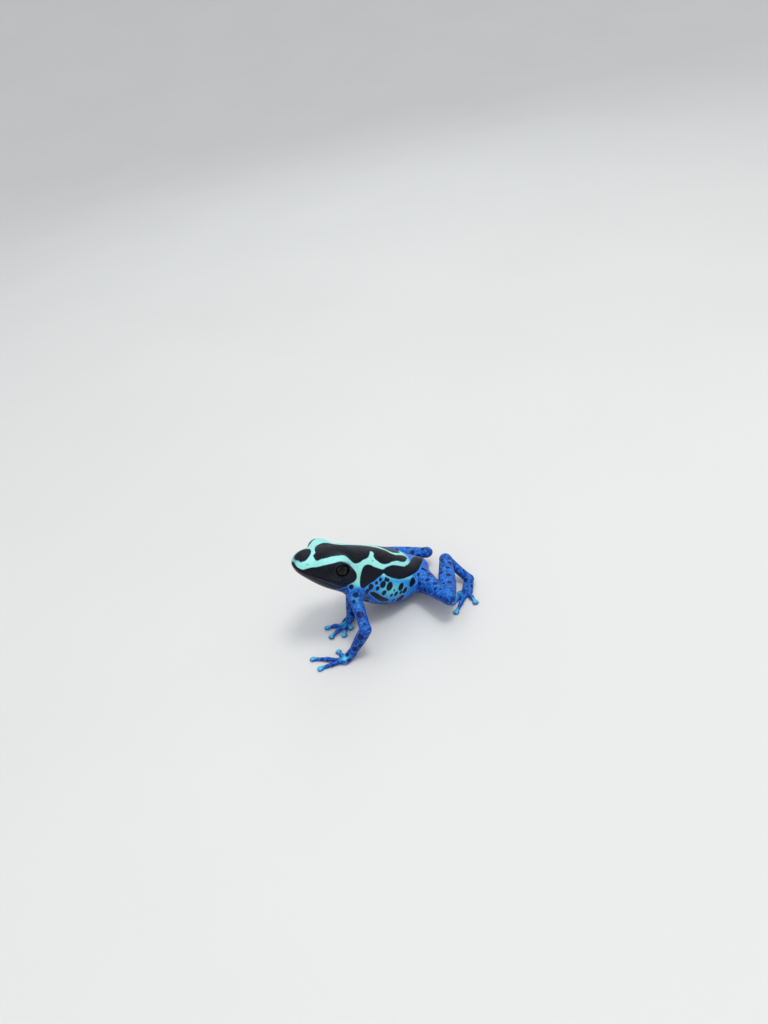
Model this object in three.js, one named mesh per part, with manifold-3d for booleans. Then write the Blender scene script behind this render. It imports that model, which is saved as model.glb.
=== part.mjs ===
// Blue poison dart frog, life size, sitting up on its front legs.
// Millimetres, +Z up, the frog faces -Y and its left side is +X. The floor is z = 0.
import * as THREE from 'three';
import Module from 'manifold-3d';

const wasm = await Module();
wasm.setup();
const { Manifold, Mesh } = wasm;

// Driving dimensions.
const GAP = 0.3; // between two parts that meet
const BODY_PITCH = THREE.MathUtils.degToRad(35); // back raised at the front
const HIP_HEIGHT = 5.3; // of the body frame's origin over the floor
const CENTRE_SHIFT = new THREE.Vector3(0.026, 12.681, 0); // puts the box's bottom centre on the origin
const FINEST = 0.012; // edges shorter than this are joined
const RING_STEPS = 36; // points round the trunk and head
const RING_SPACING = 1.4; // between the rings of the trunk and head
const POLE = 0.02; // from the end rings to the very ends
const LIMB_STEPS = 14; // points round a leg
const CAP_RINGS = 3; // rings on each round end of a leg segment
const SHAFT_RINGS = 7;
const DIGIT_STEPS = 10; // points round a finger or toe
const LIP_STEPS = 8;
const NECK = { along: 24.6, slant: 0.25 }; // where the head begins, further forward below
const EYE = { along: 30.6, side: 5.65, up: 2.0, radius: 2.3 };
const ORBIT = { along: 30.5, side: 4.85, up: 1.9, radius: 3.05, long: 1.12 };
const LID_OPENING = 2.0; // radius of the gap between the lids
const NOSTRIL = { along: 38.7, side: 3.3, up: 1.0, radius: 0.36 };
const TYMPANUM = { along: 26.3, angle: 0.06, radius: 1.15, groove: 0.17 };
const SHOULDER = { along: 22.3, side: 5.0, up: -3.6, radius: 2.7, long: 1.15 }; // swelling over the arm
// The mouth line drops from its level at the snout towards the corners of the jaw.
const MOUTH = { from: 27.2, to: 40.2, level: -0.75, drop: 1.0, height: 0.3, depth: 0.12, lip: 0.3 };

// Trunk and head: [along, half width, top, bottom] in the body frame, rump to snout.
const SECTIONS = [
  [-4.2, 0.0, 1.2, 1.2],
  [-3.5, 2.1, 3.3, -1.0],
  [-2.1, 3.5, 4.4, -3.2],
  [0.0, 4.8, 4.7, -5.8],
  [3.5, 6.3, 4.9, -8.5],
  [8.0, 7.6, 5.7, -9.5],
  [14.0, 8.1, 6.1, -9.5],
  [19.0, 7.5, 6.0, -8.4],
  [23.0, 6.9, 5.9, -7.2],
  [27.0, 6.9, 5.8, -6.3],
  [30.5, 6.6, 5.2, -5.6],
  [33.5, 5.8, 4.6, -4.7],
  [37.0, 4.5, 3.5, -3.4],
  [39.0, 3.4, 2.5, -2.5],
  [40.0, 2.2, 1.5, -1.5],
  [40.5, 0.0, 0.0, 0.0],
];

// Joints of each leg in millimetres, from the trunk outwards.
const JOINTS = {
  left: {
    shoulder: [5.0, -21.6, 14.6], elbow: [14.3, -24.6, 9.1], wrist: [11.9, -28.9, 2.0],
    palm: [11.9, -31.4, 1.0],
    hip: [2.6, -0.4, 5.0], knee: [18.6, -0.9, 8.0], heel: [3.6, 9.1, 6.9],
    instep: [9.9, 12.0, 1.4], ball: [13.5, 8.5, 1.0],
  },
  right: {
    shoulder: [-5.0, -21.6, 14.6], elbow: [-7.2, -16.8, 4.8], wrist: [-0.1, -22.2, 2.0],
    palm: [0.2, -24.4, 1.0],
    hip: [-2.6, -0.4, 5.0], knee: [-17.2, -3.4, 4.2], heel: [-5.0, 8.3, 4.9],
    instep: [-11.5, 4.8, 1.4], ball: [-15.4, 2.0, 1.0],
  },
};

// Leg segments: half thickness at the first joint, the middle and the second joint, and how
// much less tall than wide the middle is.
const LIMBS = {
  upper_arm: { ends: ['shoulder', 'elbow'], radii: [1.9, 1.6, 1.5], flat: 1.0 },
  forearm: { ends: ['elbow', 'wrist'], radii: [1.5, 1.6, 1.25], flat: 0.95 },
  thigh: { ends: ['hip', 'knee'], radii: [3.0, 2.6, 2.0], flat: 0.95 },
  shank: { ends: ['knee', 'heel'], radii: [2.0, 2.35, 2.05], flat: 0.64 },
  tarsus: { ends: ['heel', 'instep'], radii: [1.6, 1.3, 1.45], flat: 1.0 },
};
const HAND = { radii: [1.25, 1.45, 1.4], flat: 0.8 };
const FOOT = { radii: [1.4, 1.6, 1.6], flat: 0.7 };

// Digits, first to last: how far the tip lies from the palm or the ball in X and Y.
const FINGERS = {
  left: [[-2.4, 1.9], [-5.2, 0.4], [-7.5, -6.9], [-2.7, -7.3]],
  right: [[2.6, 0.9], [3.6, -2.8], [1.2, -6.1], [-3.5, -5.0]],
};
const TOES = {
  left: [[-2.2, -2.2], [-1.4, -4.3], [0.4, -6.2], [4.3, -7.8], [5.3, -0.8]],
  right: [[1.6, -2.8], [0.4, -4.8], [-1.4, -7.0], [-4.0, -8.0], [-5.2, -1.6]],
};
const DIGIT = { root: 0.75, shaft: 0.6, pad: 0.88, padLength: 1.4, height: 0.5 };

// The body frame: along the back, to the frog's left, and out of the back.
const FORWARD = new THREE.Vector3(0, -Math.cos(BODY_PITCH), Math.sin(BODY_PITCH));
const UPWARD = new THREE.Vector3(0, Math.sin(BODY_PITCH), Math.cos(BODY_PITCH));

function bodyPoint(along, side, up) {
  return new THREE.Vector3(side, 0, HIP_HEIGHT)
    .addScaledVector(FORWARD, along)
    .addScaledVector(UPWARD, up);
}

// A smooth value read out of a column of the section table.
function readSections(along, column) {
  const last = SECTIONS.length - 1;
  let i = 0;
  while (i < last - 1 && SECTIONS[i + 1][0] <= along) i++;
  const at = (k) => SECTIONS[Math.min(Math.max(k, 0), last)];
  const slope = (k) => {
    const [before, after] = [at(k - 1), at(k + 1)];
    return (after[column] - before[column]) / (after[0] - before[0]);
  };
  const [p, q] = [at(i), at(i + 1)];
  const width = q[0] - p[0];
  const t = (along - p[0]) / width;
  if (i === 0 || i === last - 1) { // round ends
    const end = i === 0 ? p : q;
    const open = i === 0 ? q : p;
    const away = i === 0 ? t : 1 - t;
    return end[column] + (open[column] - end[column]) * Math.sqrt(Math.max(0, away * (2 - away)));
  }
  const [t2, t3] = [t * t, t * t * t];
  return p[column] * (2 * t3 - 3 * t2 + 1) + slope(i) * width * (t3 - 2 * t2 + t)
    + q[column] * (3 * t2 - 2 * t3) + slope(i + 1) * width * (t3 - t2);
}

// A point of the skin of the trunk or head; the angle runs from the left side over the back.
function skinPoint(along, angle, swell = 0) {
  const [c, s] = [Math.cos(angle), Math.sin(angle)];
  const top = readSections(along, 2);
  const bottom = readSections(along, 3);
  const middle = (top + bottom) / 2;
  const half = (top - bottom) / 2 + swell;
  const side = (readSections(along, 1) + swell) * Math.sign(c) * Math.abs(c) ** 0.92;
  return bodyPoint(along, side, middle + half * Math.sign(s) * Math.abs(s) ** 0.96);
}

// A closed solid through rings of points that all have one length.
function loft(rings) {
  const count = rings[0].length;
  const points = rings.flat();
  const index = [];
  const first = points.length;
  const centre = (ring) => ring.reduce((sum, p) => sum.add(p), new THREE.Vector3())
    .divideScalar(count);
  points.push(centre(rings[0]), centre(rings[rings.length - 1]));
  for (let i = 0; i + 1 < rings.length; i++) {
    for (let j = 0; j < count; j++) {
      const [a, b] = [i * count + j, i * count + (j + 1) % count];
      index.push(a, b, b + count, a, b + count, a + count);
    }
  }
  const end = (rings.length - 1) * count;
  for (let j = 0; j < count; j++) {
    const k = (j + 1) % count;
    index.push(first, k, j, first + 1, end + j, end + k);
  }
  return toSolid(points, index);
}

function toSolid(points, index) {
  const vertProperties = new Float32Array(points.flatMap((p) => [p.x, p.y, p.z]));
  const mesh = new Mesh({ numProp: 3, vertProperties, triVerts: new Uint32Array(index) });
  mesh.merge();
  let solid = new Manifold(mesh);
  if (solid.volume() < 0) { // rings given the other way round
    const turned = [];
    for (let i = 0; i < index.length; i += 3) turned.push(index[i], index[i + 2], index[i + 1]);
    mesh.triVerts = new Uint32Array(turned);
    solid = new Manifold(mesh);
  }
  return solid;
}

function fromGeometry(geometry, place) {
  const moved = geometry.clone().applyMatrix4(place);
  const position = moved.attributes.position;
  const points = [];
  for (let i = 0; i < position.count; i++) {
    points.push(new THREE.Vector3().fromBufferAttribute(position, i));
  }
  return toSolid(points, [...moved.index.array]);
}

// A ball, or an egg that is longer along the body.
function ball(centre, radius, steps = 20, long = 1) {
  const geometry = new THREE.SphereGeometry(radius, steps, Math.round(steps * 0.6));
  const side = new THREE.Vector3(1, 0, 0);
  const turn = new THREE.Matrix4().makeBasis(side, FORWARD.clone().multiplyScalar(long), UPWARD);
  return fromGeometry(geometry, turn.setPosition(centre));
}

function rod(from, to, radius, steps = 20) {
  const axis = to.clone().sub(from);
  const geometry = new THREE.CylinderGeometry(radius, radius, axis.length(), steps);
  const turn = new THREE.Quaternion()
    .setFromUnitVectors(new THREE.Vector3(0, 1, 0), axis.clone().normalize());
  const middle = from.clone().add(to).divideScalar(2);
  return fromGeometry(geometry, new THREE.Matrix4().compose(middle, turn, new THREE.Vector3(1, 1, 1)));
}

const vector = (list) => new THREE.Vector3(...list);

// Trunk and head in one, then parted at the neck.
function bodySolid(swell = 0) {
  const first = SECTIONS[0][0];
  const last = SECTIONS[SECTIONS.length - 1][0];
  const rings = [];
  const alongs = [first + POLE, first + 0.2, SECTIONS[1][0]];
  for (let along = -2.7; along < 39.2; along += RING_SPACING) alongs.push(along);
  alongs.push(39.7, 40.1, 40.36, last - POLE);
  for (const along of alongs) {
    const ring = [];
    for (let j = 0; j < RING_STEPS; j++) {
      ring.push(skinPoint(along, (2 * Math.PI * j) / RING_STEPS, swell));
    }
    rings.push(ring);
  }
  return loft(rings);
}

// The trunk's two shoulder swellings.
function withShoulders(solid, swell = 0) {
  const swelling = (side) => {
    const place = bodyPoint(SHOULDER.along, side * SHOULDER.side, SHOULDER.up);
    return ball(place, SHOULDER.radius + swell, 16, SHOULDER.long);
  };
  return solid.add(swelling(1)).add(swelling(-1));
}

// A leg segment: round ends on both joints, thickness changing smoothly between them.
function segment(from, to, { radii, flat }) {
  const axis = to.clone().sub(from);
  const length = axis.length();
  axis.normalize();
  const across = new THREE.Vector3(0, 0, 1).cross(axis).normalize();
  const normal = axis.clone().cross(across);
  const [first, middle, last] = radii;
  const radiusAt = (t) => {
    const ends = first + (last - first) * t;
    return ends + (middle - (first + last) / 2) * Math.sin(Math.PI * t) ** 1.2;
  };
  const tallness = (t) => 1 - (1 - flat) * THREE.MathUtils.smoothstep(t, 0, 0.35);
  const rings = [];
  const addRing = (distance, radius) => {
    const ring = [];
    for (let j = 0; j < LIMB_STEPS; j++) {
      const angle = (2 * Math.PI * j) / LIMB_STEPS;
      ring.push(from.clone().addScaledVector(axis, distance)
        .addScaledVector(across, radius * Math.cos(angle))
        .addScaledVector(normal, radius * tallness(distance / length) * Math.sin(angle)));
    }
    rings.push(ring);
  };
  // The last ring of a cap stops just short of the shaft.
  const capAngle = (k) => (k / CAP_RINGS) * (Math.PI / 2) * 0.98;
  for (let k = 1; k <= CAP_RINGS; k++) {
    addRing(-first * Math.cos(capAngle(k)), first * Math.sin(capAngle(k)));
  }
  for (let k = 1; k < SHAFT_RINGS; k++) {
    addRing((length * k) / SHAFT_RINGS, radiusAt(k / SHAFT_RINGS));
  }
  for (let k = CAP_RINGS; k >= 1; k--) {
    addRing(length + last * Math.cos(capAngle(k)), last * Math.sin(capAngle(k)));
  }
  return loft(rings);
}

// Cuts a solid on the plane that halves a bent joint, leaving half the gap on this side.
function trimAtJoint(solid, joint, before, after, keepBefore) {
  const inward = joint.clone().sub(before).normalize();
  const outward = after.clone().sub(joint).normalize();
  const normal = inward.add(outward).normalize().multiplyScalar(keepBefore ? -1 : 1);
  const offset = normal.dot(joint) + GAP / 2;
  return solid.trimByPlane(normal.toArray(), offset);
}

// A finger or toe: a tapering shaft ending in a flat round pad.
function digit(root, tip) {
  const axis = tip.clone().sub(root);
  const length = axis.length();
  axis.normalize();
  const across = new THREE.Vector3(0, 0, 1).cross(axis).normalize();
  const up = new THREE.Vector3(0, 0, 1);
  const pad = DIGIT.padLength / length;
  // Shares of the way to the tip, and half the width there.
  const stations = [
    [0.0, DIGIT.root], [0.35, DIGIT.shaft * 1.08], [0.6, DIGIT.shaft * 0.95],
    [0.98 - pad, DIGIT.shaft], [1 - pad * 0.62, DIGIT.pad],
    [1 - pad * 0.25, DIGIT.pad * 0.86], [1, DIGIT.pad * 0.18],
  ];
  const rings = stations.map(([t, half]) => {
    const ring = [];
    const centre = root.clone().lerp(tip, t);
    const tall = t < 0.5 ? half : Math.min(half, DIGIT.height + (1 - t) * 0.1);
    for (let j = 0; j < DIGIT_STEPS; j++) {
      const angle = (2 * Math.PI * (j + 0.5)) / DIGIT_STEPS;
      ring.push(centre.clone().addScaledVector(across, half * Math.cos(angle))
        .addScaledVector(up, tall * Math.sin(angle)));
    }
    return ring;
  });
  return loft(rings);
}

// The palm or sole with its fingers or toes.
function footSolid(from, palm, tips, sole) {
  let solid = segment(from, palm, sole);
  for (const [x, y] of tips) {
    const tip = new THREE.Vector3(palm.x + x, palm.y + y, DIGIT.height - 0.12);
    const start = palm.clone().lerp(tip, 0.04).setZ(palm.z - 0.3);
    solid = solid.add(digit(start, tip));
  }
  return solid;
}

const floorCut = (solid) => solid.trimByPlane([0, 0, 1], 0);

// The mouth line on the skin, or a line a little over or under it.
function mouthPath(height, inset) {
  const path = [];
  const steps = 26;
  for (let k = 0; k <= steps; k++) {
    const t = (k / steps) * 2 - 1; // right corner, snout, left corner
    const along = MOUTH.from + (MOUTH.to - MOUTH.from) * Math.cos((t * Math.PI) / 2) ** 0.75;
    const top = readSections(along, 2);
    const bottom = readSections(along, 3);
    const level = MOUTH.level - MOUTH.drop * Math.abs(t) ** 1.5 + height;
    const s = Math.max(-1, Math.min(1, (level - (top + bottom) / 2) / ((top - bottom) / 2)));
    const side = readSections(along, 1) * Math.sqrt(1 - s * s) * Math.sign(t);
    const fade = Math.min(1, (1 - Math.abs(t)) * 12);
    path.push({ along, side: side * (1 - inset), level, fade });
  }
  return path;
}

// What is cut away between the lips.
function ribbon(inset, height) {
  const outer = mouthPath(0, -inset);
  const inner = mouthPath(0, inset);
  const rings = outer.map((o, k) => {
    const i = inner[k];
    const half = height / 2;
    return [
      bodyPoint(o.along + inset * 2, o.side, o.level - half),
      bodyPoint(o.along + inset * 2, o.side, o.level + half),
      bodyPoint(i.along - inset * 3, i.side, i.level + half),
      bodyPoint(i.along - inset * 3, i.side, i.level - half),
    ];
  });
  return loft(rings);
}

// A thin round lip along the mouth, half sunk in the skin and thinner at the corners.
function lip(height) {
  const path = mouthPath(height, 0.03);
  const place = (p) => bodyPoint(p.along, p.side, p.level);
  const rings = path.map((p, k) => {
    const [a, b] = [path[Math.max(0, k - 1)], path[Math.min(path.length - 1, k + 1)]];
    const out = place(b).sub(place(a)).cross(UPWARD).normalize();
    const centre = place(p).addScaledVector(FORWARD, -MOUTH.depth);
    const radius = MOUTH.lip * (0.45 + 0.55 * p.fade);
    const ring = [];
    for (let j = 0; j < LIP_STEPS; j++) {
      const angle = (2 * Math.PI * j) / LIP_STEPS;
      ring.push(centre.clone().addScaledVector(out, radius * Math.cos(angle))
        .addScaledVector(UPWARD, radius * Math.sin(angle)));
    }
    return ring;
  });
  return loft(rings);
}

// Lips, mouth line, eye bulges with open lids, nostrils and eardrums.
function shapeHead(head) {
  let solid = head.add(lip(MOUTH.lip)).add(lip(-MOUTH.lip));
  solid = solid.subtract(ribbon(MOUTH.depth, MOUTH.height));
  for (const side of [1, -1]) {
    const orbit = bodyPoint(ORBIT.along, side * ORBIT.side, ORBIT.up);
    const eye = bodyPoint(EYE.along, side * EYE.side, EYE.up);
    const outside = bodyPoint(EYE.along + 0.3, side * (EYE.side + 5), EYE.up + 0.6);
    solid = solid.add(ball(orbit, ORBIT.radius, 20, ORBIT.long));
    solid = solid.subtract(ball(eye, EYE.radius + GAP, 18));
    solid = solid.subtract(rod(eye, outside, LID_OPENING, 18));
    const nostril = bodyPoint(NOSTRIL.along, side * NOSTRIL.side, NOSTRIL.up);
    solid = solid.subtract(ball(nostril, NOSTRIL.radius, 10));
    solid = solid.subtract(drumGroove(side));
  }
  return solid;
}

// The ring round the eardrum.
function drumGroove(side) {
  const centre = skinPoint(TYMPANUM.along, side > 0 ? TYMPANUM.angle : Math.PI - TYMPANUM.angle);
  const geometry = new THREE.TorusGeometry(TYMPANUM.radius, TYMPANUM.groove, 6, 18);
  const turn = new THREE.Quaternion().setFromUnitVectors(
    new THREE.Vector3(0, 0, 1), new THREE.Vector3(side, 0, 0));
  return fromGeometry(geometry, new THREE.Matrix4().compose(centre, turn, new THREE.Vector3(1, 1, 1)));
}

// Putting the frog together.
const group = new THREE.Group();
group.name = 'blue_poison_dart_frog';

const COLOURS = {
  head: 0x141a22, trunk: 0x1c2733, eye: 0x050507, arm: 0x2460c8, leg: 0x2a6ad6, foot: 0x4c9fe0,
};

function addPart(name, solid, colour) {
  const pieces = solid.simplify(FINEST).decompose();
  pieces.sort((a, b) => b.volume() - a.volume());
  const mesh = pieces[0].translate(CENTRE_SHIFT.toArray()).getMesh();
  const geometry = new THREE.BufferGeometry();
  geometry.setAttribute('position', new THREE.BufferAttribute(new Float32Array(mesh.vertProperties), 3));
  geometry.setIndex([...mesh.triVerts]);
  geometry.computeVertexNormals();
  const material = new THREE.MeshStandardMaterial({ color: colour, roughness: 0.35 });
  const part = new THREE.Mesh(geometry, material);
  part.name = name;
  group.add(part);
}

const body = bodySolid();
const grown = withShoulders(bodySolid(GAP), GAP);
const ahead = FORWARD.clone().addScaledVector(UPWARD, NECK.slant).normalize();
const neck = ahead.dot(bodyPoint(NECK.along, 0, 0));
addPart('head', shapeHead(body.trimByPlane(ahead.toArray(), neck + GAP / 2)), COLOURS.head);
const behind = ahead.clone().negate().toArray();
addPart('trunk', withShoulders(body).trimByPlane(behind, -neck + GAP / 2), COLOURS.trunk);

for (const [side, sign] of [['left', 1], ['right', -1]]) {
  const joint = Object.fromEntries(Object.entries(JOINTS[side]).map(([k, v]) => [k, vector(v)]));
  const eye = ball(bodyPoint(EYE.along, sign * EYE.side, EYE.up), EYE.radius, 18);
  addPart(`eye_${side}`, eye, COLOURS.eye);
  const make = (name) => {
    const { ends } = LIMBS[name];
    return segment(joint[ends[0]], joint[ends[1]], LIMBS[name]);
  };
  const upperArm = trimAtJoint(make('upper_arm'), joint.elbow, joint.shoulder, joint.wrist, true);
  addPart(`upper_arm_${side}`, upperArm.subtract(grown), COLOURS.arm);
  let forearm = trimAtJoint(make('forearm'), joint.elbow, joint.shoulder, joint.wrist, false);
  forearm = trimAtJoint(forearm, joint.wrist, joint.elbow, joint.palm, true);
  addPart(`forearm_${side}`, forearm, COLOURS.arm);
  let hand = footSolid(joint.wrist, joint.palm, FINGERS[side], HAND);
  hand = trimAtJoint(hand, joint.wrist, joint.elbow, joint.palm, false);
  addPart(`hand_${side}`, floorCut(hand), COLOURS.foot);
  const thigh = trimAtJoint(make('thigh'), joint.knee, joint.hip, joint.heel, true);
  addPart(`thigh_${side}`, floorCut(thigh.subtract(grown)), COLOURS.leg);
  let shank = trimAtJoint(make('shank'), joint.knee, joint.hip, joint.heel, false);
  shank = trimAtJoint(shank, joint.heel, joint.knee, joint.instep, true);
  addPart(`shank_${side}`, floorCut(shank), COLOURS.leg);
  let tarsus = trimAtJoint(make('tarsus'), joint.heel, joint.knee, joint.instep, false);
  tarsus = trimAtJoint(tarsus, joint.instep, joint.heel, joint.ball, true);
  addPart(`tarsus_${side}`, floorCut(tarsus), COLOURS.leg);
  let foot = footSolid(joint.instep, joint.ball, TOES[side], FOOT);
  foot = trimAtJoint(foot, joint.instep, joint.heel, joint.ball, false);
  addPart(`foot_${side}`, floorCut(foot), COLOURS.foot);
}

export default group;
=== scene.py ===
import math

import bpy
import numpy as np
from mathutils import Matrix, Vector


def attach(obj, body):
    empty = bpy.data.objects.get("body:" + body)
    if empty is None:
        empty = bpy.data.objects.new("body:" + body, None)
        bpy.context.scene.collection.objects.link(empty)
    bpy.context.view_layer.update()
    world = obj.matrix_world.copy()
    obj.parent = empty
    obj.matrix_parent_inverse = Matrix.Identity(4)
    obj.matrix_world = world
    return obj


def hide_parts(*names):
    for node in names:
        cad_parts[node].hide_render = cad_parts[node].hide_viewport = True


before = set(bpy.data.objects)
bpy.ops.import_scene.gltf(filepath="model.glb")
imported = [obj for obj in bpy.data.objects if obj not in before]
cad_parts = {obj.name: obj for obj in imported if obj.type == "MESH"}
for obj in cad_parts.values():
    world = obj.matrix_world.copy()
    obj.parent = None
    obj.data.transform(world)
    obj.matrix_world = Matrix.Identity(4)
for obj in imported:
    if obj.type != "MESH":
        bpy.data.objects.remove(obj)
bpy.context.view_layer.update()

# Lengths are in millimetres until a mesh is made.
METRES = 0.001

# Where the frog sits in the row frame.
BODY_PITCH = math.radians(35)
CENTRE_SHIFT = np.array([0.026, 12.681, 0.0])
HIP = CENTRE_SHIFT + [0.0, 0.0, 5.3]
FORWARD = np.array([0.0, -math.cos(BODY_PITCH), math.sin(BODY_PITCH)])
UPWARD = np.array([0.0, math.sin(BODY_PITCH), math.cos(BODY_PITCH)])
LEFTWARD = np.array([1.0, 0.0, 0.0])
SKYWARD = np.array([0.0, 0.0, 1.0])

# The grid that the skin is drawn from.
GRID_LOW = np.array([-23.0, -28.5, -0.8])
GRID_HIGH = np.array([23.0, 28.5, 31.5])
GRID_STEP = 0.26
BLOCK = 4  # grid cells along a side of the blocks that are looked at first
BLOCK_REACH = 2.2  # how near the skin a block is worked out in full
MARGIN = 3.0  # how far round a form its field is worked out

# Trunk and head: along, half width, top, bottom, from rump to snout.
SECTIONS = np.array([
    [-4.2, 0.0, 1.2, 1.2], [-3.5, 2.1, 3.3, -1.0], [-2.1, 3.5, 4.4, -3.2], [0.0, 4.8, 4.7, -5.8],
    [3.5, 6.3, 4.9, -8.5], [8.0, 7.6, 5.7, -9.5], [14.0, 8.1, 6.1, -9.5], [19.0, 7.5, 6.0, -8.4],
    [23.0, 6.9, 5.9, -7.2], [27.0, 6.9, 5.8, -6.3], [30.5, 6.6, 5.2, -5.6], [33.5, 5.8, 4.6, -4.7],
    [37.0, 4.5, 3.5, -3.4], [39.0, 3.4, 2.5, -2.5], [40.0, 2.2, 1.5, -1.5], [40.5, 0.0, 0.0, 0.0],
])
WIDTH, TOP, BOTTOM = 1, 2, 3  # columns of SECTIONS
SIDE_POWER = 2 / 0.92
TALL_POWER = 2 / 0.96

JOINTS = {
    "left": {
        "shoulder": (5.0, -21.6, 14.6), "elbow": (14.3, -24.6, 9.1), "wrist": (11.9, -28.9, 2.0),
        "palm": (11.9, -31.4, 1.0),
        "hip": (2.6, -0.4, 5.0), "knee": (18.6, -0.9, 8.0), "heel": (3.6, 9.1, 6.9),
        "instep": (9.9, 12.0, 1.4), "ball": (13.5, 8.5, 1.0),
    },
    "right": {
        "shoulder": (-5.0, -21.6, 14.6), "elbow": (-7.2, -16.8, 4.8), "wrist": (-0.1, -22.2, 2.0),
        "palm": (0.2, -24.4, 1.0),
        "hip": (-2.6, -0.4, 5.0), "knee": (-17.2, -3.4, 4.2), "heel": (-5.0, 8.3, 4.9),
        "instep": (-11.5, 4.8, 1.4), "ball": (-15.4, 2.0, 1.0),
    },
}
SIGNS = {"left": 1, "right": -1}


def limb_facts(first, last, radii, flat=1.0, full=0.5):
    """Half thickness at both joints and in the middle, how flat, and where the muscle is fullest."""
    return {"ends": (first, last), "radii": radii, "flat": flat, "full": full}


LIMBS = {
    "upper_arm": limb_facts("shoulder", "elbow", (1.9, 1.6, 1.45)),
    "forearm": limb_facts("elbow", "wrist", (1.45, 1.6, 1.15), 0.95, 0.35),
    "thigh": limb_facts("hip", "knee", (3.0, 2.65, 1.9), 0.95, 0.45),
    "shank": limb_facts("knee", "heel", (1.9, 2.4, 1.75), 0.68, 0.4),
    "tarsus": limb_facts("heel", "instep", (1.6, 1.3, 1.35)),
    "palm": limb_facts("wrist", "palm", (1.2, 1.35, 1.3), 0.8),
    "sole": limb_facts("instep", "ball", (1.35, 1.5, 1.5), 0.72),
}
# How softly each part joins the one before it, and how far round the joint.
JOINS = {
    "upper_arm": (1.3, 4.2), "forearm": (0.7, 2.8), "palm": (0.6, 2.8), "thigh": (2.2, 8.4),
    "shank": (0.6, 2.8), "tarsus": (0.7, 2.8), "sole": (0.6, 2.8),
}
CREASE = 0.06  # how softly parts meet where they only touch
SWELLING_POWER = 1.2  # how round the muscle of a limb is
FLAT_BY = 0.35  # how far along its part a limb has its full flatness
# How softly the other forms join the skin.
SOFT = {"orbit": 1.6, "lids": 0.8, "shoulder": 1.8, "groin": 2.4, "root": 0.35, "tip": 0.3}
FLOOR_EDGE = 0.12  # how softly the floor cuts the soles flat
SLOPE_STEP = 0.02  # for the slope of the trunk's field
LEAST_BODY_SLOPE, LEAST_SQUARE_SLOPE = 0.08, 0.05  # keep steps short where a field is flat

# Tips of the fingers and toes, across the floor from the palm and the ball of the foot.
FINGERS = {
    "left": [(-2.4, 1.9), (-5.2, 0.4), (-7.5, -6.9), (-2.7, -7.3)],
    "right": [(2.6, 0.9), (3.6, -2.8), (1.2, -6.1), (-3.5, -5.0)],
}
TOES = {
    "left": [(-2.2, -2.2), (-1.4, -4.3), (0.4, -6.2), (4.3, -7.8), (5.3, -0.8)],
    "right": [(1.6, -2.8), (0.4, -4.8), (-1.4, -7.0), (-4.0, -8.0), (-5.2, -1.6)],
}
DIGIT = {
    "root": 0.74, "shaft": 0.53, "tip_height": 0.42, "arch": 0.22, "knuckle": 1.12, "neck": 0.92,
    "start": 0.04, "sunk": 0.25, "bend": 0.52,
}
PAD = {"wide": 0.86, "long": 0.84, "tall": 0.46}

EYE = {"along": 30.6, "side": 5.65, "up": 2.0, "radius": 2.3, "ahead": 0.07, "skyward": 0.14}
ORBIT = {"along": 30.5, "side": 4.85, "up": 1.9, "radius": 3.05, "long": 1.12}
LID = {
    "long": 1.95, "tall": 1.6, "clearance": 0.05, "thick": 0.42, "edge": 0.22, "socket_edge": 0.05,
    "back_edge": 0.1, "reach": 6.0,
}
NOSTRIL = {"along": 38.7, "side": 3.3, "up": 1.0, "radius": 0.34, "edge": 0.18, "reach": 2.0}
SHOULDER = {"along": 22.3, "side": 5.0, "up": -3.6, "radius": 2.7, "long": 1.15}
GROIN = {"out": 3.2, "radius": 2.9, "long": 1.5}
MOUTH = {
    "from": 27.2, "to": 40.2, "level": -0.75, "drop": 1.0, "curve": 0.75, "bend": 1.5, "depth": 0.16,
    "width": 0.16, "fade": (27.0, 28.4),
}
LIP = {"off": 0.4, "width": 0.22, "height": 0.06}
TYMPANUM = {
    "along": 26.3, "side": 4.5, "up": 0.3, "radius": 1.05, "flat": 0.5, "rim": 0.05, "rim_width": 0.16,
    "sunk": 0.07,
}
# The swollen rim of the lids and the crease outside it; 1 is the oval of the opening.
LID_RIM = {"oval": 1.16, "width": 0.11, "height": 0.05}
LID_CREASE = {"oval": 1.42, "width": 0.1, "depth": 0.07}
LID_RELIEF_REACH, LID_RELIEF_FRONT = 3.4, 0.3
# The reach of the folds at each joint.
FOLDS = {"elbow": 1.9, "wrist": 1.4, "knee": 2.3, "heel": 1.9}
FOLD_SPACING, FOLD_DEPTH = 0.62, 0.05
GROOVE = {"width": 0.13, "depth": 0.09, "reach": 0.95, "above": 0.1}
CREASE_SHADE_SHARES = {"lids": 0.7, "folds": 0.45, "grooves": 0.5}  # how much painted shade darkens each kind of crease


def smoothstep(value, low, high):
    t = np.clip((value - low) / (high - low), 0.0, 1.0)
    return t * t * (3 - 2 * t)


def hump(value, centre, width):
    return np.exp(-((value - centre) / width)**2)


def unit(vector):
    return vector / np.linalg.norm(vector)


def distances(points, place):
    return np.linalg.norm(points - place, axis=1)


def body_place(facts, sign):
    """Where a feature of the trunk or head lies on one side."""
    return HIP + facts["along"] * FORWARD + sign * facts["side"] * LEFTWARD + facts["up"] * UPWARD


def body_coordinates(points):
    offset = points - HIP
    return offset @ FORWARD, offset @ LEFTWARD, offset @ UPWARD


def joint(side, name):
    return np.array(JOINTS[side][name]) + CENTRE_SHIFT


def limb_ends(side, facts):
    return tuple(joint(side, end) for end in facts["ends"])


def digits(*sides):
    """Each finger's and toe's palm or ball of the foot, and its tip."""
    for side in sides:
        yield from ((joint(side, "palm"), tip) for tip in FINGERS[side])
        yield from ((joint(side, "ball"), tip) for tip in TOES[side])


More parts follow.
